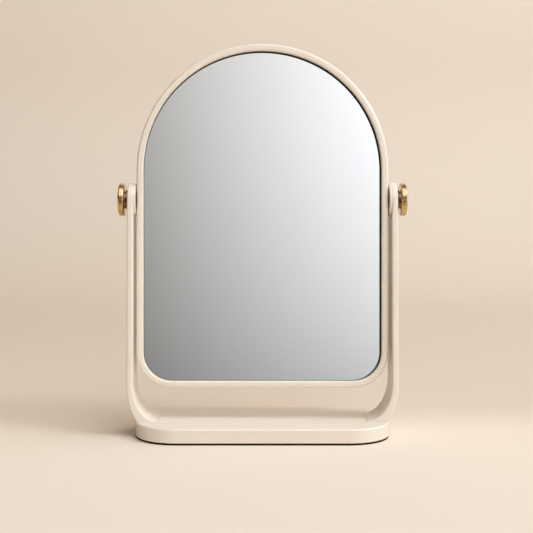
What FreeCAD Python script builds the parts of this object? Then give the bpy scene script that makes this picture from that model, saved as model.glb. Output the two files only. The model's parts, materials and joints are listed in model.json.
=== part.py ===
import FreeCAD, Part
import math
import os

# Tabletop mirror, sizes in millimetres.
# X runs along the tilt axis, -Y faces the user, Z is up and the table is at Z = 0.

# Mirror head
frame_width = 187.6
frame_height = 256.0
frame_corner_radius = 26.5
rim_width = 5.3
rim_round = 1.9
rim_inner_round = 1.6
rim_rear_round = 0.5
shelf_width = 6.0
shelf_thickness = 2.0
head_gap = 23.1
pivot_drop = 22.1

# Glass and what lies behind it, from front to back
glass_recess = 1.6
glass_thickness = 3.0
glass_clearance = 0.65
glass_seat_gap = 0.1
glass_edge_chamfer = 0.3
pad_thickness = 0.8
board_thickness = 2.0
backing_clearance = 0.15
cover_post_height = 1.7
cover_thickness = 2.5
cover_recess = 0.4
cover_clearance = 0.3
cover_edge_round = 0.6
cover_screw_spread = 45.0
cover_screw_angle = 55.0
cover_post_radius = 2.6

# Tilt pivot, the same on both sides
stud_radius = 2.5
running_clearance = 0.05
face_gap = 0.05
stud_tip_gap = 0.3
insert_radius = 3.5
insert_flange_radius = 5.0
insert_flange_thickness = 1.0
friction_washer_thickness = 0.3
friction_washer_margin = 2.5
washer_bore_clearance = 0.25
bush_radius = 4.0
thrust_washer_thickness = 0.5
thrust_washer_margin = 0.6
neck_radius = 7.5
neck_length = 2.05
neck_groove_width = 0.9
neck_groove_depth = 0.9
knob_radius = 12.3
knob_rim_width = 4.5
knob_dome_rise = 1.2
knob_edge_round = 1.3
stud_socket_depth = 5.0

# Arms
arm_thickness = 4.5
arm_foot_depth = 31.7
arm_edge_round = 1.2
ear_radius = 12.4
boss_height = 1.5
boss_margin = 0.3
boss_edge_round = 0.8
foot_reach = 18.75
foot_rise = 28.0
foot_toe = 1.3
foot_sink = 1.0
foot_pocket_clearance = 0.1
foot_flare = 7.3
foot_flare_rise = 25.0

# Base
base_depth = 82.0
base_height = 10.1
base_corner_radius = 32.0
base_edge_round = 1.2
base_bottom_chamfer = 0.5
base_end_margin = 0.8
base_wall = 7.0
sole_thickness = 1.4
sole_inset = 0.8
ballast_thickness = 6.0
ballast_clearance = 0.3
ballast_end_wall = 5.0
ballast_corner_radius = 14.0
ballast_screw_inset = 14.0
ballast_screw_grip = 2.5

# Screws
arm_screw_radius = 2.0
arm_screw_head_radius = 3.6
arm_screw_head_height = 2.4
arm_screw_inset = 4.9
arm_screw_spacing = 18.0
arm_screw_grip = 4.2
arm_screw_sink = 3.2
small_screw_radius = 1.25
small_screw_head_radius = 2.4
small_screw_head_height = 1.3
small_screw_grip = 3.2
plate_screw_radius = 1.5
plate_screw_head_radius = 3.0
plate_screw_head_height = 1.8
screw_clearance = 0.2
thread_clearance = 0.03
drive_width = 0.6
drive_depth = 0.8

# Levels and stations that follow from the sizes above
base_bottom = sole_thickness
base_top = base_bottom + base_height
head_bottom = base_top + head_gap
head_top = head_bottom + frame_height
frame_half = frame_width / 2
arch_z = head_top - frame_half
pivot_z = arch_z - pivot_drop
ear_top = pivot_z + ear_radius

stack = glass_recess + glass_thickness + pad_thickness + board_thickness
cover_stack = cover_post_height + cover_thickness + cover_recess
frame_depth = stack + shelf_thickness + cover_stack
frame_front = -frame_depth / 2
frame_back = frame_depth / 2
glass_front = frame_front + glass_recess
pad_front = glass_front + glass_thickness
board_front = pad_front + pad_thickness
shelf_front = board_front + board_thickness
shelf_back = shelf_front + shelf_thickness
cover_front = shelf_back + cover_post_height
cover_back = cover_front + cover_thickness

boss_face = frame_half + friction_washer_thickness + face_gap
arm_inner = boss_face + boss_height
arm_outer = arm_inner + arm_thickness
thrust_face = arm_outer + face_gap
neck_face = thrust_face + thrust_washer_thickness + face_gap
disc_face = neck_face + neck_length
rim_end = disc_face + knob_rim_width
boss_radius = ear_radius - boss_margin

foot_bottom = base_top - foot_sink
foot_inner = arm_inner - foot_reach
foot_outer = arm_outer - foot_flare
base_half = foot_outer + base_end_margin
arm_screw_x = foot_outer - arm_screw_inset
arm_screw_hole = arm_screw_head_radius + screw_clearance * 2
ballast_half_x = arm_screw_x - arm_screw_hole - ballast_end_wall
ballast_half_y = base_depth / 2 - base_wall
ballast_top = base_bottom + ballast_thickness

X = FreeCAD.Vector(1, 0, 0)
Y = FreeCAD.Vector(0, 1, 0)
Z = FreeCAD.Vector(0, 0, 1)
ORIGIN = FreeCAD.Vector(0, 0, 0)


def point(x, y, z):
    return FreeCAD.Vector(x, y, z)


def line(a, b):
    return Part.LineSegment(a, b).toShape()


def arc(a, through, b):
    return Part.Arc(a, through, b).toShape()


def arch(inset, front, back, corner=None, shift_x=0.0, shift_z=0.0):
    """The head outline moved in by an inset, as a slab from front to back."""
    half = frame_half - inset
    radius = frame_corner_radius - inset if corner is None else corner
    low = head_bottom + inset + shift_z
    spring = arch_z + shift_z
    diagonal = radius * math.sqrt(0.5)
    left = shift_x - half
    right = shift_x + half
    corner_z = low + radius

    def at(x, z):
        return point(x, front, z)

    edges = [
        line(at(left + radius, low), at(right - radius, low)),
        arc(
            at(right - radius, low),
            at(right - radius + diagonal, corner_z - diagonal),
            at(right, corner_z),
        ),
        line(at(right, corner_z), at(right, spring)),
        arc(at(right, spring), at(shift_x, spring + half), at(left, spring)),
        line(at(left, spring), at(left, corner_z)),
        arc(
            at(left, corner_z),
            at(left + radius - diagonal, corner_z - diagonal),
            at(left + radius, low),
        ),
    ]
    return Part.Face(Part.Wire(edges)).extrude(point(0, back - front, 0))


def depth_inside(x, z):
    """How far a point lies inside the head outline."""
    if z > arch_z:
        return frame_half - math.hypot(x, z - arch_z)
    dx = abs(x) - (frame_half - frame_corner_radius)
    dz = head_bottom + frame_corner_radius - z
    if dx > 0 and dz > 0:
        return frame_corner_radius - math.hypot(dx, dz)
    return min(frame_half - abs(x), z - head_bottom)


def rim_edges(solid, y, inset):
    """Edges of one outline, in the plane y."""
    found = []
    for edge in solid.Edges:
        ends = [edge.valueAt(edge.FirstParameter), edge.valueAt(edge.LastParameter)]
        if all(abs(p.y - y) < 1e-4 and abs(depth_inside(p.x, p.z) - inset) < 1e-3 for p in ends):
            found.append(edge)
    return found


def sharp_edges(solid, lowest):
    """Edges above a level where two faces meet at an angle."""
    found = []
    for edge in solid.Edges:
        middle = edge.valueAt((edge.FirstParameter + edge.LastParameter) / 2)
        if edge.BoundBox.ZMax < lowest:
            continue
        normals = []
        for face in solid.ancestorsOfType(edge, Part.Face):
            u, v = face.Surface.parameter(middle)
            normals.append(face.normalAt(u, v))
        if len(normals) == 2 and normals[0].getAngle(normals[1]) > math.radians(5):
            found.append(edge)
    return found


def rod(radius, start, end, y=0.0, z=None, bore=0.0):
    """A round bar or ring along X, on the tilt axis unless placed elsewhere."""
    height = pivot_z if z is None else z
    bar = Part.makeCylinder(radius, end - start, point(start, y, height), X)
    if bore:
        bar = bar.cut(Part.makeCylinder(bore, end - start, point(start, y, height), X))
    return bar


def rounded_slab(half_x, half_y, radius, low, high):
    box = Part.makeBox(2 * half_x, 2 * half_y, high - low, point(-half_x, -half_y, low))
    upright = [e for e in box.Edges if abs(e.BoundBox.ZLength) > (high - low) / 2]
    return box.makeFillet(radius, upright)


def countersunk(radius, head_radius, head_height, length, drive=True):
    """A flat-headed screw with its head face at Z = 0 and its shank down."""
    head = Part.makeCone(radius, head_radius, head_height, point(0, 0, -head_height))
    screw = head.fuse(Part.makeCylinder(radius, length, point(0, 0, -length))).removeSplitter()
    if drive:
        screw = screw.cut(drive_recess(head_radius))
    return screw


def drive_recess(head_radius):
    """The cross recess in a screw head, cut down from Z = 0."""
    span = head_radius * 1.1
    bars = [(span, drive_width), (drive_width, span)]
    boxes = [Part.makeBox(a, b, drive_depth, point(-a / 2, -b / 2, -drive_depth)) for a, b in bars]
    return boxes[0].fuse(boxes[1])


def placed(shape, turn_axis, angle, where):
    copy = shape.copy()
    copy.rotate(ORIGIN, turn_axis, angle)
    copy.translate(where)
    return copy


def other_side(shape):
    return shape.mirror(ORIGIN, X)


def cover_screw_points():
    """Six places along the middle of the shelf, in pairs."""
    inset = rim_width + shelf_width / 2
    half = frame_half - inset
    side_z = (head_bottom + frame_corner_radius + arch_z) / 2
    angle = math.radians(cover_screw_angle)
    points = []
    for side in (-1, 1):
        points.append((side * cover_screw_spread, head_bottom + inset))
        points.append((side * half, side_z))
        points.append((side * half * math.cos(angle), arch_z + half * math.sin(angle)))
    return points


def make_frame():
    """Arched ring with a shelf inside, posts for the cover and two pivot holes."""
    ring = arch(0, frame_front, frame_back)
    outer = rim_edges(ring, frame_front, 0) + rim_edges(ring, frame_back, 0)
    ring = ring.makeFillet(rim_round, outer)
    ring = ring.cut(arch(rim_width, frame_front - 1, shelf_front))
    ring = ring.cut(arch(rim_width, shelf_back, frame_back + 1))
    ring = ring.cut(arch(rim_width + shelf_width, shelf_front - 1, shelf_back + 1))
    ring = ring.makeFillet(rim_inner_round, rim_edges(ring, frame_front, rim_width))
    ring = ring.makeFillet(rim_rear_round, rim_edges(ring, frame_back, rim_width))
    for x, z in cover_screw_points():
        ring = ring.fuse(
            Part.makeCylinder(cover_post_radius, cover_front - shelf_front, point(x, shelf_front, z), Y)
        )
    ring = ring.removeSplitter()
    hole = small_screw_radius + thread_clearance
    for x, z in cover_screw_points():
        ring = ring.cut(Part.makeCylinder(hole, frame_depth, point(x, shelf_front, z), Y))
    for side in (-1, 1):
        seat = rod(insert_radius + thread_clearance, frame_half - rim_width - 1, frame_half + 1)
        flange = rod(
            insert_flange_radius + thread_clearance,
            frame_half - insert_flange_thickness,
            frame_half + 1,
        )
        seat = seat.fuse(flange)
        ring = ring.cut(seat if side > 0 else other_side(seat))
    return ring


def make_glass():
    """Lies low and to the left in its opening, clear of it at the top and right."""
    settle = glass_clearance - glass_seat_gap
    glass = arch(
        rim_width + glass_clearance,
        glass_front,
        pad_front,
        corner=frame_corner_radius - rim_width,
        shift_x=-settle,
        shift_z=-settle,
    )
    front = [e for e in glass.Edges if e.BoundBox.YMax < glass_front + 1e-4]
    return glass.makeChamfer(glass_edge_chamfer, front)


def make_cover():
    cover = arch(rim_width + cover_clearance, cover_front, cover_back)
    back = rim_edges(cover, cover_back, rim_width + cover_clearance)
    cover = cover.makeFillet(cover_edge_round, back)
    sink = countersunk(
        small_screw_radius + screw_clearance,
        small_screw_head_radius + screw_clearance,
        small_screw_head_height + screw_clearance,
        cover_thickness + 1,
        drive=False,
    )
    for x, z in cover_screw_points():
        cover = cover.cut(placed(sink, X, -90, point(x, cover_back, z)))
    return cover


def make_cover_screws():
    length = cover_thickness + small_screw_grip
    screw = countersunk(
        small_screw_radius, small_screw_head_radius, small_screw_head_height, length
    )
    return [placed(screw, X, -90, point(x, cover_back, z)) for x, z in cover_screw_points()]


def make_arm():
    """Right arm: a band with a round ear, a boss at the pivot and a flared foot."""
    toe_top = foot_bottom + foot_toe
    rise_top = toe_top + foot_rise
    flare_top = base_top + foot_flare_rise
    radius = (foot_flare**2 + foot_flare_rise**2) / (2 * foot_flare)
    sweep = math.asin(foot_flare_rise / radius)
    low_sweep = math.asin((flare_top - foot_bottom) / radius)
    centre = point(arm_outer - radius, 0, flare_top)

    def on_flare(angle):
        return centre + point(radius * math.cos(angle), 0, -radius * math.sin(angle))

    bend = 0.5523
    curve = Part.BezierCurve()
    curve.setPoles(
        [
            point(arm_inner, 0, rise_top),
            point(arm_inner, 0, rise_top - bend * foot_rise),
            point(foot_inner + bend * foot_reach, 0, toe_top),
            point(foot_inner, 0, toe_top),
        ]
    )
    top = ear_top + ear_radius
    heel = on_flare(low_sweep)
    edges = [
        line(point(foot_inner, 0, foot_bottom), heel),
        arc(heel, on_flare(sweep / 2), on_flare(0)),
        line(on_flare(0), point(arm_outer, 0, top)),
        line(point(arm_outer, 0, top), point(arm_inner, 0, top)),
        line(point(arm_inner, 0, top), point(arm_inner, 0, rise_top)),
        curve.toShape(),
        line(point(foot_inner, 0, toe_top), point(foot_inner, 0, foot_bottom)),
    ]
    front_view = Part.Face(Part.Wire(edges))
    front_view.translate(point(0, -arm_foot_depth, 0))
    band = front_view.extrude(point(0, 2 * arm_foot_depth, 0))

    half = arm_foot_depth / 2
    drop = pivot_z - foot_bottom
    reach = math.hypot(half, drop)
    lean = math.acos(ear_radius / reach) - math.atan2(drop, half)
    tangent_y = ear_radius * math.cos(lean)
    tangent_z = pivot_z + ear_radius * math.sin(lean)
    start = foot_inner - 1
    corners = [
        point(start, -half, foot_bottom),
        point(start, half, foot_bottom),
        point(start, tangent_y, tangent_z),
        point(start, -tangent_y, tangent_z),
    ]
    side_edges = [
        line(corners[0], corners[1]),
        line(corners[1], corners[2]),
        arc(corners[2], point(start, 0, ear_top), corners[3]),
        line(corners[3], corners[0]),
    ]
    side_view = Part.Face(Part.Wire(side_edges)).extrude(point(arm_outer - start + 1, 0, 0))
    body = band.common(side_view).removeSplitter()
    body = body.makeFillet(arm_edge_round, sharp_edges(body, foot_bottom + 0.01))

    boss = rod(boss_radius, boss_face, arm_inner + arm_thickness / 2)
    face_edges = [e for e in boss.Edges if e.BoundBox.XMax < boss_face + 1e-4]
    body = body.fuse(boss.makeFillet(boss_edge_round, face_edges)).removeSplitter()
    body = body.cut(rod(bush_radius + thread_clearance, boss_face - 1, arm_outer + 1))
    for y in arm_screw_rows():
        body = body.cut(
            Part.makeCylinder(
                arm_screw_radius + thread_clearance,
                arm_screw_grip + screw_clearance,
                point(arm_screw_x, y, foot_bottom),
            )
        )
    return body


def arm_screw_rows():
    return (-arm_screw_spacing / 2, arm_screw_spacing / 2)


def arm_screw_places():
    return [(side * arm_screw_x, y) for side in (-1, 1) for y in arm_screw_rows()]


def make_arm_screws():
    head_top = base_bottom + arm_screw_sink
    tip = foot_bottom + arm_screw_grip
    screws = []
    for x, y in arm_screw_places():
        low = head_top - arm_screw_head_height
        head = Part.makeCylinder(arm_screw_head_radius, arm_screw_head_height, point(x, y, low))
        shank = Part.makeCylinder(arm_screw_radius, tip - head_top, point(x, y, head_top))
        recess = placed(drive_recess(arm_screw_head_radius), X, 180, point(x, y, low))
        screws.append(head.fuse(shank).removeSplitter().cut(recess))
    return screws


def ballast_screw_places():
    x = ballast_half_x - ballast_screw_inset
    y = ballast_half_y - ballast_screw_inset
    return [(i * x, j * y) for i in (-1, 1) for j in (-1, 1)]


def make_base():
    """Flat base with a pocket for each foot on top and one for the ballast below."""
    base = rounded_slab(base_half, base_depth / 2, base_corner_radius, base_bottom, base_top)
    base = base.makeFillet(base_edge_round, [e for e in base.Edges if e.BoundBox.ZMin > base_top - 1e-4])
    under = [e for e in base.Edges if e.BoundBox.ZMax < base_bottom + 1e-4]
    base = base.makeChamfer(base_bottom_chamfer, under)
    gap = foot_pocket_clearance
    length = foot_outer - foot_inner + 2 * gap
    pocket = rounded_slab(length / 2, arm_foot_depth / 2 + gap, arm_edge_round, foot_bottom, base_top + 1)
    middle = (foot_outer + foot_inner) / 2
    for side in (-1, 1):
        base = base.cut(placed(pocket, Z, 0, point(side * middle, 0, 0)))
    base = base.cut(
        rounded_slab(
            ballast_half_x, ballast_half_y, ballast_corner_radius, base_bottom - 1, ballast_top
        )
    )
    for x, y in arm_screw_places():
        hole = arm_screw_radius + screw_clearance
        base = base.cut(Part.makeCylinder(hole, base_height, point(x, y, base_bottom)))
        base = base.cut(Part.makeCylinder(arm_screw_hole, arm_screw_sink, point(x, y, base_bottom)))
    for x, y in ballast_screw_places():
        hole = plate_screw_radius + thread_clearance
        depth = ballast_screw_grip + screw_clearance
        base = base.cut(Part.makeCylinder(hole, depth, point(x, y, ballast_top)))
    return base


def make_ballast():
    plate = rounded_slab(
        ballast_half_x - ballast_clearance,
        ballast_half_y - ballast_clearance,
        ballast_corner_radius - ballast_clearance,
        base_bottom,
        ballast_top,
    )
    sink = countersunk(
        plate_screw_radius + screw_clearance,
        plate_screw_head_radius + screw_clearance,
        plate_screw_head_height + screw_clearance,
        ballast_thickness + 1,
        drive=False,
    )
    for x, y in ballast_screw_places():
        plate = plate.cut(placed(sink, X, 180, point(x, y, base_bottom)))
    return plate


def make_ballast_screws():
    length = ballast_thickness + ballast_screw_grip
    screw = countersunk(
        plate_screw_radius, plate_screw_head_radius, plate_screw_head_height, length
    )
    return [placed(screw, X, 180, point(x, y, base_bottom)) for x, y in ballast_screw_places()]


def make_knob():
    """Right knob: a turned disc with a domed outer face on a grooved neck."""
    flat = knob_radius - knob_edge_round
    dome_radius = (flat**2 + knob_dome_rise**2) / (2 * knob_dome_rise)
    tip = rim_end + knob_dome_rise
    half_angle = math.asin(flat / dome_radius) / 2
    centre_x = tip - dome_radius
    groove_start = disc_face - neck_groove_width
    groove_radius = neck_radius - neck_groove_depth
    bore = stud_radius + thread_clearance
    socket_end = neck_face + stud_socket_depth
    turn = knob_edge_round * math.sqrt(0.5)

    def at(x, r):
        return point(x, 0, pivot_z + r)

    outline = [
        line(at(neck_face, bore), at(neck_face, neck_radius)),
        line(at(neck_face, neck_radius), at(groove_start, neck_radius)),
        line(at(groove_start, neck_radius), at(groove_start, groove_radius)),
        line(at(groove_start, groove_radius), at(disc_face, groove_radius)),
        line(at(disc_face, groove_radius), at(disc_face, flat)),
        arc(
            at(disc_face, flat),
            at(disc_face + knob_edge_round - turn, flat + turn),
            at(disc_face + knob_edge_round, knob_radius),
        ),
        line(at(disc_face + knob_edge_round, knob_radius), at(rim_end - knob_edge_round, knob_radius)),
        arc(
            at(rim_end - knob_edge_round, knob_radius),
            at(rim_end - knob_edge_round + turn, flat + turn),
            at(rim_end, flat),
        ),
        arc(
            at(rim_end, flat),
            at(centre_x + dome_radius * math.cos(half_angle), dome_radius * math.sin(half_angle)),
            at(tip, 0),
        ),
        line(at(tip, 0), at(socket_end, 0)),
        line(at(socket_end, 0), at(socket_end, bore)),
        line(at(socket_end, bore), at(neck_face, bore)),
    ]
    return Part.Face(Part.Wire(outline)).revolve(point(0, 0, pivot_z), X, 360)


def make_insert():
    start = frame_half - rim_width
    body = rod(insert_radius, start, frame_half)
    body = body.fuse(rod(insert_flange_radius, frame_half - insert_flange_thickness, frame_half))
    body = body.removeSplitter()
    return body.cut(rod(stud_radius + running_clearance, start - 1, frame_half + 1))


washer_bore = stud_radius + washer_bore_clearance
washer_radius = boss_radius - boss_edge_round - friction_washer_margin
washer_end = frame_half + friction_washer_thickness
thrust_radius = neck_radius - thrust_washer_margin
thrust_end = thrust_face + thrust_washer_thickness
stud_start = frame_half - rim_width + stud_tip_gap
stud_end = neck_face + stud_socket_depth
bush_bore = stud_radius + running_clearance
backing_inset = rim_width + backing_clearance

nodes = {
    "base_shell": make_base(),
    "base_sole": rounded_slab(
        base_half - sole_inset,
        base_depth / 2 - sole_inset,
        base_corner_radius - sole_inset,
        0,
        base_bottom,
    ),
    "ballast_plate": make_ballast(),
    "ballast_screws": Part.makeCompound(make_ballast_screws()),
    "arm_screws": Part.makeCompound(make_arm_screws()),
    "mirror_frame": make_frame(),
    "mirror_glass": make_glass(),
    "foam_pad": arch(backing_inset, pad_front, board_front),
    "backing_board": arch(backing_inset, board_front, shelf_front),
    "back_cover": make_cover(),
    "back_cover_screws": Part.makeCompound(make_cover_screws()),
}

pairs = {
    "arm": make_arm(),
    "pivot_bush": rod(bush_radius, boss_face, arm_outer, bore=bush_bore),
    "pivot_insert": make_insert(),
    "friction_washer": rod(washer_radius, frame_half, washer_end, bore=washer_bore),
    "thrust_washer": rod(thrust_radius, thrust_face, thrust_end, bore=washer_bore),
    "pivot_stud": rod(stud_radius, stud_start, stud_end),
    "knob": make_knob(),
}
for name, shape in pairs.items():
    nodes["right_" + name] = shape
    nodes["left_" + name] = other_side(shape)

os.makedirs("parts", exist_ok=True)
for name, shape in nodes.items():
    shape.exportStep("parts/" + name + ".step")
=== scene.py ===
import json
import math

import bpy
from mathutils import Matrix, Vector

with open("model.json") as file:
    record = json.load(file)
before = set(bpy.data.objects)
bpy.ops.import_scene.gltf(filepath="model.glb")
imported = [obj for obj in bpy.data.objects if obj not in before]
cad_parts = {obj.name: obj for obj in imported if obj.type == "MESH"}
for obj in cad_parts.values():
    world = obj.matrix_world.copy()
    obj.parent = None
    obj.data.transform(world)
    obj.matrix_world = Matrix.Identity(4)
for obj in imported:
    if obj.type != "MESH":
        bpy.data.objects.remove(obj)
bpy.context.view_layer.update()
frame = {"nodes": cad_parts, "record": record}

nodes = frame["nodes"]
scene = bpy.context.scene

# Colours are linear. Lengths are in metres and angles in degrees.
# Pairs such as NECK_END are the two ends of a change.
CREAM = (0.800, 0.700, 0.590)
CREAM_DEEP = (0.770, 0.668, 0.555)
SILVER_DEEP = (0.925, 0.930, 0.928)
SILVER_LIGHT = (0.940, 0.945, 0.945)
# Painted shade: the glass sheet's edge, near black, darkens the gap round the glass
GLASS_EDGE_SHADE = (0.070, 0.078, 0.076)
BRASS_DEEP = (0.580, 0.360, 0.135)
BRASS_LIGHT = (0.680, 0.445, 0.190)
BRASS_STAIN = (0.520, 0.330, 0.120)
# Painted shade for the knobs' necks
NECK_PAINTED_SHADE = (0.080, 0.034, 0.009)
ZINC_DEEP = (0.52, 0.53, 0.54)
ZINC_LIGHT = (0.62, 0.62, 0.60)
FOAM_DEEP = (0.010, 0.007, 0.004)
FOAM_LIGHT = (0.020, 0.014, 0.009)
RUBBER_DEEP = (0.090, 0.055, 0.032)
RUBBER_LIGHT = (0.130, 0.082, 0.050)
NYLON_DEEP = (0.70, 0.69, 0.64)
NYLON_LIGHT = (0.80, 0.79, 0.75)
FIBRE_DEEP = (0.24, 0.155, 0.085)
FIBRE_LIGHT = (0.42, 0.30, 0.185)
FIBRE_FLECK = (0.16, 0.10, 0.06)

# The tilt axis, and where the painted shade on the knobs' necks ends along it and about it
PIVOT = (0.0, 0.0, 0.1747)
ABOUT_AXIS = (0.0, 1.0, 1.0)
NECK_END = (0.1026, 0.1028)
NECK_RADIUS = (0.0076, 0.0079)
NECK_SHADE_SHARE = 0.85

# How far the front face's normal may lean before it counts as the edge
FRONT_FACE = (-0.98, -0.90)

# Floor, backdrop and the light on them, with painted shade and painted light in the paper's tone
FLOOR = (0.814, 0.699, 0.580)
FLOOR_FLECK = tuple(0.99 * c for c in FLOOR)
COVE_PAINTED_SHADE = (0.690, 0.577, 0.470)
WALL_PAINTED_LIGHT = (0.856, 0.738, 0.622)
COVE_TURN = (-0.01, 0.11)
WALL_TURN = (0.50, 2.40)
FADE_START = 0.9
FADE_END = 2.2
TABLE_FRONT = -0.222
SIDE_FRONT = -0.44
SIDE_START = 0.142
CLEAR_HALF = 0.75
FLOOR_FRONT = -4.0
STAGE_HALF = 3.0
SWEEP_START = 1.00
SWEEP_RADIUS = 0.50
SWEEP_STEPS = 24
WALL_TOP = 2.4

WARM = (1.0, 0.875, 0.70)
COOL = (0.75, 0.88, 1.0)
LOW_COOL = (0.93, 0.97, 1.0)
HIGH_COOL = (0.79, 0.87, 1.0)
LIT_POINT = Vector((0.0, 0.0, 0.12))
SKY = 0.05
SKY_SIDE = 0.01

# The card that the glass shows from the front
CARD_CENTRE = (0.0, -1.60, 0.1525)
CARD_SIZE = (0.585, 0.84)
CARD_ACROSS = (0.362, 0.933)
CARD_SLOPE = (1.037, 0.668)
CARD_FOOT = 0.623
CARD_WARM = (1.030, 1.0, 0.966)
CARD_COOL = (0.993, 1.0, 1.027)

# The glowing cloths that the coat and the brass reflect
CLOTH = (0.68, 0.79, 1.0)
CLOTH_MIDDLE = 0.5
CLOTH_EDGE = (0.30, 0.5)
SOFTBOX_CENTRE = (0.1, -0.717, 1.194)
SOFTBOX_SIZE = (2.2, 1.82)
SOFTBOX_LEAN = -55.0
SOFTBOX_GLOW = 2.35
STRIP_CENTRE = (1.7, -0.2, 1.0)
STRIP_SIZE = (1.6, 2.4)
STRIP_TURN = 90.0
STRIP_GLOW = 3.0

# What reflections see of the world: cream low at the sides and dim elsewhere
DIM = (1.0, 0.97, 0.93)
DIM_LEVEL = (0.04, 0.30)
DIM_RISE = (0.4, 0.95)
SIDES = (0.20, 0.36)
HORIZON = (0.0, 0.15)
LOWER = (-0.11, -0.03)
FLOOR_LEVEL_LEFT = 0.92
FLOOR_LEVEL_RIGHT = 1.19

# A level camera
SENSOR_MM = 36.0
LENS_MM = 65.57
SHIFT_X = 0.0075
SHIFT_Y = -0.1041
CAMERA_AT = (0.0, -0.7284, 0.1662)


# Helpers for shader trees

def new_material(name):
    """A material with its tree and its Principled shader."""
    material = bpy.data.materials.new(name)
    material.use_nodes = True
    tree = material.node_tree
    return material, tree, tree.nodes["Principled BSDF"]


def empty_tree(owner):
    """The node tree of a material or a world, with nothing in it."""
    owner.use_nodes = True
    owner.node_tree.nodes.clear()
    return owner.node_tree


def add(tree, kind, **settings):
    """A node with its settings, apart from its sockets."""
    made = tree.nodes.new(kind)
    for key, value in settings.items():
        setattr(made, key, value)
    return made


def feed(tree, socket, value):
    """Set a socket to a number, a colour or a vector, or link another socket to it."""
    if isinstance(value, bpy.types.NodeSocket):
        tree.links.new(value, socket)
    elif socket.type == "RGBA":
        socket.default_value = (*value, 1.0)
    else:
        socket.default_value = value


def dress(tree, node, values):
    """Feed a node's sockets by name."""
    for name, value in values.items():
        feed(tree, node.inputs[name], value)


def coordinates(tree, kind="Object"):
    """Texture coordinates. Object gives the position in the rest frame."""
    return add(tree, "ShaderNodeTexCoord").outputs[kind]


def axes(tree, vector):
    """A vector's X, Y and Z, by name."""
    made = add(tree, "ShaderNodeSeparateXYZ")
    tree.links.new(vector, made.inputs[0])
    return made.outputs


def noise(tree, vector, scale, detail=2.0, rough=0.5):
    """Grey noise at so many features per metre."""
    made = add(tree, "ShaderNodeTexNoise")
    dress(tree, made, {"Scale": scale, "Detail": detail, "Roughness": rough, "Vector": vector})
    return made.outputs["Fac"]


def cells(tree, vector, scale, feature="F1"):
    """Distance to the nearest cell's middle, at so many cells per metre."""
    made = add(tree, "ShaderNodeTexVoronoi", feature=feature)
    dress(tree, made, {"Scale": scale, "Vector": vector})
    return made.outputs["Distance"]


def spread(tree, value, low, high, start=0.3, end=0.7, kind="LINEAR"):
    """value from start to end, mapped on to low to high."""
    made = add(tree, "ShaderNodeMapRange", interpolation_type=kind)
    dress(tree, made, {
        "From Min": start, "From Max": end, "To Min": low, "To Max": high, "Value": value,
    })
    return made.outputs["Result"]


def smooth(tree, value, low, high, start, end):
    """As spread, but easing in and out."""
    return spread(tree, value, low, high, start, end, "SMOOTHSTEP")


def between(tree, factor, first, second):
    """A colour that goes from first to second with factor. Either may be a socket."""
    made = add(tree, "ShaderNodeMix", data_type="RGBA")
    factor_socket, first_socket, second_socket = (made.inputs[i] for i in (0, 6, 7))
    feed(tree, factor_socket, factor)
    feed(tree, first_socket, first)
    feed(tree, second_socket, second)
    return made.outputs[2]


def operate(tree, kind, operation, values):
    """The outputs of a maths node fed with values."""
    made = add(tree, kind, operation=operation)
    for socket, value in zip(made.inputs, values):
        feed(tree, socket, value)
    return made.outputs


def arithmetic(tree, operation, *values):
    """A sum, product or the like of numbers or sockets."""
    return operate(tree, "ShaderNodeMath", operation, values)["Value"]


def vectors(tree, operation, *values):
    """The same for vectors; the outputs are Vector and Value."""
    return operate(tree, "ShaderNodeVectorMath", operation, values)


def mix_shaders(tree, factor, first, second):
    """A shader that goes from first to second with factor."""
    made = add(tree, "ShaderNodeMixShader")
    for socket, source in zip(made.inputs, (factor, first, second)):
        tree.links.new(source, socket)
    return made.outputs[0]


def glow(tree, kind, colour, strength=1.0):
    """Light given off by a surface or by the world."""
    made = add(tree, kind)
    dress(tree, made, {"Color": colour, "Strength": strength})
    return made.outputs[0]


def bump(tree, shader, height, distance, strength):
    """Raise a shader's surface by height, as a share of distance."""
    made = add(tree, "ShaderNodeBump")
    dress(tree, made, {"Strength": strength, "Distance": distance, "Height": height})
    tree.links.new(made.outputs["Normal"], shader.inputs["Normal"])


# Materials

def coated_metal(name):
    """Satin powder coat: faint orange peel, fine pigment grain and a slow drift in tone."""
    material, tree, shader = new_material(name)
    at = coordinates(tree)
    slow = noise(tree, at, scale=9.0)
    peel = noise(tree, at, scale=520.0, rough=0.45)
    grain = noise(tree, at, scale=2600.0)
    tone = between(tree, spread(tree, slow, 0.0, 0.5), CREAM, CREAM_DEEP)
    tone = between(tree, spread(tree, grain, 0.0, 0.22, start=0.45, end=0.75), tone, CREAM_DEEP)
    dress(tree, shader, {
        "Base Color": tone,
        "Roughness": spread(tree, peel, 0.28, 0.36),
        "IOR": 1.52,
        "Specular IOR Level": 0.4,
    })
    height = arithmetic(tree, "ADD", peel, arithmetic(tree, "MULTIPLY", grain, 0.10))
    bump(tree, shader, height, distance=0.00002, strength=0.6)
    return material


def moulded_plastic(name):
    """Moulded cover: spark-eroded grain under a soft sheen."""
    material, tree, shader = new_material(name)
    at = coordinates(tree)
    slow = noise(tree, at, scale=12.0)
    pits = cells(tree, at, scale=1100.0, feature="SMOOTH_F1")
    grain = noise(tree, at, scale=1800.0, detail=3.0)
    dress(tree, shader, {
        "Base Color": between(tree, spread(tree, slow, 0.0, 0.6), CREAM, CREAM_DEEP),
        "Roughness": spread(tree, grain, 0.50, 0.62),
    })
    bump(tree, shader, arithmetic(tree, "ADD", pits, grain), distance=0.00004, strength=0.5)
    return material


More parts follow.
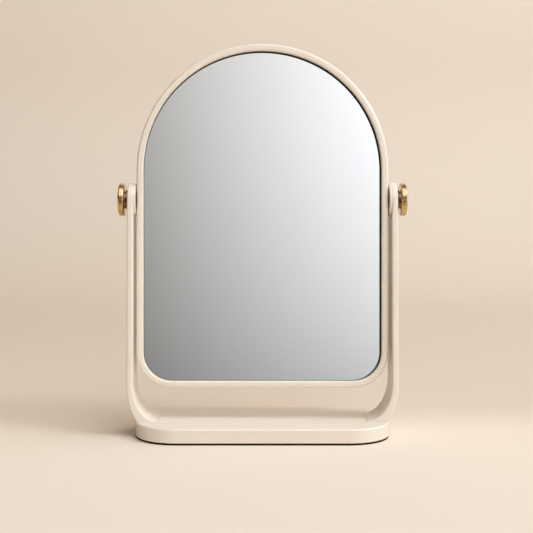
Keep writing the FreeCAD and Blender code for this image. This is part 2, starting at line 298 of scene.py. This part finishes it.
def silvered_glass(name):
    """Mirror: silver seen through the front face; the sheet's edge is painted near black, as
    painted shade for the gap round the glass.
    """
    material, tree, shader = new_material(name)
    facing = axes(tree, coordinates(tree, "Normal"))["Y"]
    front = spread(tree, facing, 1.0, 0.0, *FRONT_FACE)
    haze = noise(tree, coordinates(tree), scale=26.0, detail=4.0, rough=0.6)
    silver = between(tree, spread(tree, haze, 0.0, 1.0), SILVER_DEEP, SILVER_LIGHT)
    dress(tree, shader, {
        "Base Color": between(tree, front, GLASS_EDGE_SHADE, silver),
        "Metallic": front,
        "Roughness": spread(tree, haze, 0.012, 0.028),
    })
    return material


def turned_brass(name):
    """Brass turned on a lathe: fine rings about the tilt axis, and painted shade darkening the
    neck.
    """
    material, tree, shader = new_material(name)
    shift = vectors(tree, "SUBTRACT", coordinates(tree), PIVOT)["Vector"]
    across = vectors(tree, "MULTIPLY", shift, ABOUT_AXIS)["Vector"]
    radius = vectors(tree, "LENGTH", across)["Value"]
    along = axes(tree, shift)["X"]
    turned = add(tree, "ShaderNodeCombineXYZ")
    dress(tree, turned, {"X": along, "Y": radius})
    coarse = noise(tree, turned.outputs[0], scale=1500.0)
    lines = noise(tree, turned.outputs[0], scale=5200.0)
    slow = noise(tree, shift, scale=160.0, detail=3.0)
    tone = between(tree, spread(tree, coarse, 0.0, 1.0), BRASS_DEEP, BRASS_LIGHT)
    tone = between(tree, spread(tree, slow, 0.0, 0.20), tone, BRASS_STAIN)
    # Painted shade: the neck and the groove by the disc go near black, standing in for the shade
    # there.
    neck = arithmetic(
        tree, "MULTIPLY",
        spread(tree, arithmetic(tree, "ABSOLUTE", along), 1.0, 0.0, *NECK_END),
        spread(tree, radius, NECK_SHADE_SHARE, 0.0, *NECK_RADIUS),
    )
    dress(tree, shader, {
        "Base Color": between(tree, neck, tone, NECK_PAINTED_SHADE),
        "Metallic": 1.0,
        "Roughness": spread(tree, lines, 0.15, 0.25),
        "Coat Weight": 0.60,
        "Coat Roughness": 0.12,
    })
    bump(tree, shader, arithmetic(tree, "ADD", lines, coarse), distance=0.00003, strength=0.5)
    return material


def bright_steel(name):
    """Zinc-plated steel with a faint cloudy passivation."""
    material, tree, shader = new_material(name)
    at = coordinates(tree)
    cloud = noise(tree, at, scale=300.0, detail=4.0, rough=0.6)
    scratch = noise(tree, at, scale=4200.0)
    dress(tree, shader, {
        "Base Color": between(tree, spread(tree, cloud, 0.0, 1.0), ZINC_DEEP, ZINC_LIGHT),
        "Metallic": 1.0,
        "Roughness": spread(tree, scratch, 0.24, 0.40),
    })
    bump(tree, shader, scratch, distance=0.00002, strength=0.4)
    return material


def soft_sheet(name, deep, light, scale):
    """Foam or rubber: closed cells or a fine cast skin, matt."""
    material, tree, shader = new_material(name)
    at = coordinates(tree)
    grain = noise(tree, at, scale=scale * 0.6, detail=3.0)
    dress(tree, shader, {
        "Base Color": between(tree, spread(tree, grain, 0.0, 1.0), deep, light),
        "Roughness": spread(tree, grain, 0.78, 0.92),
        "Specular IOR Level": 0.08,
    })
    bump(tree, shader, cells(tree, at, scale), distance=0.00006, strength=0.7)
    return material


def plain_nylon(name):
    """Natural nylon: milky and slightly uneven."""
    material, tree, shader = new_material(name)
    cloud = noise(tree, coordinates(tree), scale=420.0, detail=3.0)
    dress(tree, shader, {
        "Base Color": between(tree, cloud, NYLON_DEEP, NYLON_LIGHT),
        "Roughness": spread(tree, cloud, 0.38, 0.50),
        "Subsurface Weight": 0.15,
        "Subsurface Scale": 0.001,
    })
    bump(tree, shader, cloud, distance=0.00002, strength=0.4)
    return material


def fibre_board(name):
    """Pressed hardboard: short brown fibres, drawn out upwards, with dark flecks."""
    material, tree, shader = new_material(name)
    at = coordinates(tree)
    stretch = add(tree, "ShaderNodeMapping")
    dress(tree, stretch, {"Vector": at, "Scale": (1.0, 1.0, 0.22)})
    fibre = noise(tree, stretch.outputs["Vector"], scale=1400.0, detail=4.0, rough=0.65)
    fleck = noise(tree, at, scale=500.0, detail=3.0)
    tone = between(tree, spread(tree, fibre, 0.0, 1.0), FIBRE_DEEP, FIBRE_LIGHT)
    tone = between(tree, spread(tree, fleck, 0.0, 0.5, start=0.55, end=0.75), tone, FIBRE_FLECK)
    dress(tree, shader, {
        "Base Color": tone,
        "Roughness": spread(tree, fibre, 0.72, 0.90),
    })
    bump(tree, shader, fibre, distance=0.00008, strength=0.6)
    return material


finishes = {
    "cream_coated_metal": coated_metal("cream_coat_stand"),
    "cream_coated_aluminium": coated_metal("cream_coat_frame"),
    "cream_plastic": moulded_plastic("cream_moulding"),
    "silvered_glass": silvered_glass("mirror_silver"),
    "brass": turned_brass("turned_brass"),
    "plain_steel": bright_steel("zinc_steel"),
    "black_foam": soft_sheet("black_foam", FOAM_DEEP, FOAM_LIGHT, scale=1800.0),
    "black_rubber": soft_sheet("brown_rubber", RUBBER_DEEP, RUBBER_LIGHT, scale=3200.0),
    "nylon": plain_nylon("natural_nylon"),
    "backing_board": fibre_board("hardboard"),
}
for row in frame["record"]["subparts"]:
    piece = nodes[row["node"]]
    piece.data.materials.clear()
    piece.data.materials.append(finishes[row["material_slot"]])


# Floor and backdrop

def backdrop_material():
    """Matt cream paper, with painted shade where it turns up and painted light up the wall; far
    off it glows evenly for the camera and reflections, melting into the background.
    """
    material, tree, shader = new_material("backdrop_paper")
    at = coordinates(tree)
    place = axes(tree, at)
    fleck = noise(tree, at, scale=60.0, detail=3.0)
    along = arithmetic(tree, "ADD", place["Y"], place["Z"])
    tone = between(tree, fleck, FLOOR, FLOOR_FLECK)
    # Painted shade where the paper turns up, and painted light on the wall above it
    tone = between(tree, smooth(tree, along, 0.0, 1.0, *COVE_TURN), tone, COVE_PAINTED_SHADE)
    tone = between(tree, smooth(tree, along, 0.0, 1.0, *WALL_TURN), tone, WALL_PAINTED_LIGHT)
    dress(tree, shader, {"Base Color": tone, "Roughness": 0.95, "Specular IOR Level": 0.1})
    outward = arithmetic(tree, "ABSOLUTE", place["X"])
    beside = smooth(tree, outward, 0.0, 1.0, FADE_START, FADE_END)
    before = smooth(tree, place["Y"], 0.0, 1.0, -FADE_START, -FADE_END)
    far = arithmetic(tree, "MAXIMUM", beside, before)
    ray = add(tree, "ShaderNodeLightPath").outputs
    looked_at = arithmetic(tree, "MAXIMUM", ray["Is Camera Ray"], ray["Is Glossy Ray"])
    melted = arithmetic(tree, "MULTIPLY", far, looked_at)
    # Painted light: far off, the paper glows evenly in the floor's cream for camera and reflected
    # rays.
    painted_far_glow = glow(tree, "ShaderNodeEmission", FLOOR)
    front = mix_shaders(tree, melted, shader.outputs[0], painted_far_glow)
    behind = add(tree, "ShaderNodeNewGeometry").outputs["Backfacing"]
    clear = add(tree, "ShaderNodeBsdfTransparent").outputs[0]
    both = mix_shaders(tree, behind, front, clear)
    tree.links.new(both, tree.nodes["Material Output"].inputs["Surface"])
    return material


paper = backdrop_material()


def sheet(name, profile, left, right):
    """A strip of floor or backdrop along a profile of (y, z) points."""
    points = [(x, y, z) for y, z in profile for x in (left, right)]
    faces = [(2 * i, 2 * i + 1, 2 * i + 3, 2 * i + 2) for i in range(len(profile) - 1)]
    mesh = bpy.data.meshes.new(name)
    mesh.from_pydata(points, [], faces)
    mesh.polygons.foreach_set("use_smooth", [True] * len(faces))
    made = bpy.data.objects.new(name, mesh)
    scene.collection.objects.link(made)
    made.data.materials.append(paper)
    return made


sweep = [(TABLE_FRONT, 0.0), (0.0, 0.0)]
for step in range(SWEEP_STEPS + 1):
    angle = math.radians(90.0 * step / SWEEP_STEPS)
    back = SWEEP_START + SWEEP_RADIUS * math.sin(angle)
    sweep.append((back, SWEEP_RADIUS * (1.0 - math.cos(angle))))
sweep.append((SWEEP_START + SWEEP_RADIUS, WALL_TOP))
near = [(SIDE_FRONT, 0.0), (TABLE_FRONT, 0.0)]
ahead = [(FLOOR_FRONT, 0.0), (SIDE_FRONT, 0.0)]
sheet("backdrop", sweep, -STAGE_HALF, STAGE_HALF)
sheet("floor_left", near, -STAGE_HALF, -SIDE_START)
sheet("floor_right", near, SIDE_START, STAGE_HALF)
sheet("floor_far_left", ahead, -STAGE_HALF, -CLEAR_HALF)
sheet("floor_far_right", ahead, CLEAR_HALF, STAGE_HALF)
# What lies in front of the glass stays out of its reflection.
unseen = [
    sheet("floor_middle", near, -SIDE_START, SIDE_START),
    sheet("floor_front", ahead, -CLEAR_HALF, CLEAR_HALF),
]
for piece in unseen:
    piece.visible_glossy = False


# Lamps

def area_light(name, azimuth, elevation, distance, size, level, colour, glossy=True):
    """A soft lamp; level is what white paper facing it shows.

    Azimuth turns from the front to the right.
    """
    turn = math.radians(azimuth)
    lift = math.radians(elevation)
    out = math.cos(lift)
    toward = Vector((math.sin(turn) * out, -math.cos(turn) * out, math.sin(lift)))
    lamp = bpy.data.lights.new(name, "AREA")
    lamp.shape = "RECTANGLE"
    lamp.size, lamp.size_y = size
    lamp.energy = level * (math.pi * distance) ** 2
    lamp.color = colour
    made = bpy.data.objects.new(name, lamp)
    scene.collection.objects.link(made)
    made.location = LIT_POINT + toward * distance
    made.rotation_mode = "QUATERNION"
    made.rotation_quaternion = toward.to_track_quat("Z", "Y")
    made.visible_glossy = glossy


area_light(
    "key", azimuth=70.0, elevation=40.0, distance=8.0, size=(2.6, 2.6), level=0.35, colour=COOL,
)
area_light(
    "side", azimuth=100.0, elevation=32.0, distance=8.0, size=(4.3, 4.3), level=0.19, colour=COOL,
)
area_light(
    "front_low", azimuth=12.0, elevation=9.0, distance=3.5, size=(3.0, 1.0), level=0.42,
    colour=LOW_COOL, glossy=False,
)
area_light(
    "front_high", azimuth=40.0, elevation=60.0, distance=3.0, size=(2.2, 2.2), level=0.43,
    colour=HIGH_COOL, glossy=False,
)
area_light(
    "top", azimuth=64.0, elevation=77.0, distance=3.0, size=(1.9, 1.9), level=0.40,
    colour=WARM, glossy=False,
)


# Cards that only reflections see

def glowing_card(name, centre, size, material):
    """An upright card facing +Y, seen only in reflections."""
    half_w, half_h = size[0] / 2, size[1] / 2
    corners = [
        (-half_w, 0, -half_h), (half_w, 0, -half_h), (half_w, 0, half_h), (-half_w, 0, half_h),
    ]
    mesh = bpy.data.meshes.new(name)
    mesh.from_pydata(corners, [], [(0, 1, 2, 3)])
    mesh.materials.append(material)
    made = bpy.data.objects.new(name, mesh)
    scene.collection.objects.link(made)
    made.location = centre
    made.visible_camera = False
    made.visible_diffuse = False
    made.visible_shadow = False
    made.visible_transmission = False
    return made


def card_material():
    """A soft grey gradient, brighter to the right and upwards."""
    material = bpy.data.materials.new("grey_card")
    tree = empty_tree(material)
    place = axes(tree, coordinates(tree, "Generated"))
    across = spread(tree, place["X"], *CARD_ACROSS, start=0.0, end=1.0)
    slope = spread(tree, place["Z"], *CARD_SLOPE, start=0.0, end=1.0)
    upward = arithmetic(tree, "ADD", arithmetic(tree, "MULTIPLY", slope, place["Z"]), CARD_FOOT)
    tint = between(tree, place["X"], CARD_WARM, CARD_COOL)
    strength = arithmetic(tree, "MULTIPLY", across, upward)
    out = add(tree, "ShaderNodeOutputMaterial")
    tree.links.new(glow(tree, "ShaderNodeEmission", tint, strength), out.inputs["Surface"])
    return material


def lamp_cloth(name, strength):
    """A cloth that glows evenly and turns clear at its edges."""
    material = bpy.data.materials.new(name)
    tree = empty_tree(material)
    place = axes(tree, coordinates(tree, "Generated"))
    fade = 1.0
    for axis in ("X", "Z"):
        edge = arithmetic(tree, "SUBTRACT", place[axis], CLOTH_MIDDLE)
        edge = arithmetic(tree, "ABSOLUTE", edge)
        fade = arithmetic(tree, "MULTIPLY", spread(tree, edge, 1.0, 0.0, *CLOTH_EDGE), fade)
    clear = add(tree, "ShaderNodeBsdfTransparent").outputs[0]
    lit = glow(tree, "ShaderNodeEmission", CLOTH, strength)
    out = add(tree, "ShaderNodeOutputMaterial")
    tree.links.new(mix_shaders(tree, fade, clear, lit), out.inputs["Surface"])
    return material


glowing_card("reflected_card", CARD_CENTRE, CARD_SIZE, card_material())
overhead = lamp_cloth("overhead_cloth", SOFTBOX_GLOW)
softbox = glowing_card("front_softbox", SOFTBOX_CENTRE, SOFTBOX_SIZE, overhead)
softbox.rotation_euler = (math.radians(SOFTBOX_LEAN), 0.0, 0.0)
strip = glowing_card("side_strip", STRIP_CENTRE, STRIP_SIZE, lamp_cloth("side_cloth", STRIP_GLOW))
strip.rotation_euler = (0.0, 0.0, math.radians(STRIP_TURN))


# World

def world_light():
    """Soft light, stronger from the right.

    The camera sees cream. Reflections see cream low at the sides, at the floor's level there,
    and a dim tone elsewhere.
    """
    world = bpy.data.worlds.new("studio")
    scene.world = world
    tree = empty_tree(world)
    ray = add(tree, "ShaderNodeLightPath").outputs
    way = axes(tree, coordinates(tree, "Generated"))
    across = spread(tree, way["X"], SKY - SKY_SIDE, SKY + SKY_SIDE, start=-1.0, end=1.0)
    soft = glow(tree, "ShaderNodeBackground", WARM, across)
    dim_level = spread(tree, way["Z"], *DIM_LEVEL, *DIM_RISE)
    dim = glow(tree, "ShaderNodeBackground", DIM, dim_level)
    side_level = spread(
        tree, way["X"], FLOOR_LEVEL_LEFT - 1.0, FLOOR_LEVEL_RIGHT - 1.0,
        start=-SIDES[1], end=SIDES[1],
    )
    lower = smooth(tree, way["Z"], 1.0, 0.0, *LOWER)
    level = arithmetic(tree, "ADD", arithmetic(tree, "MULTIPLY", side_level, lower), 1.0)
    cream = glow(tree, "ShaderNodeBackground", FLOOR, level)
    beside = smooth(tree, arithmetic(tree, "ABSOLUTE", way["X"]), 0.0, 1.0, *SIDES)
    below = smooth(tree, way["Z"], 1.0, 0.0, *HORIZON)
    reflected = mix_shaders(tree, arithmetic(tree, "MULTIPLY", beside, below), dim, cream)
    seen = glow(tree, "ShaderNodeBackground", FLOOR)
    indirect = mix_shaders(tree, ray["Is Glossy Ray"], soft, reflected)
    out = add(tree, "ShaderNodeOutputWorld")
    tree.links.new(mix_shaders(tree, ray["Is Camera Ray"], indirect, seen), out.inputs["Surface"])


world_light()


# Camera

lens = bpy.data.cameras.new("camera")
lens.sensor_width = SENSOR_MM
lens.lens = LENS_MM
lens.shift_x = SHIFT_X
lens.shift_y = SHIFT_Y
camera = bpy.data.objects.new("camera", lens)
scene.collection.objects.link(camera)
camera.location = CAMERA_AT
camera.rotation_euler = (math.radians(90.0), 0.0, 0.0)
scene.camera = camera
scene.view_settings.view_transform = "Standard"
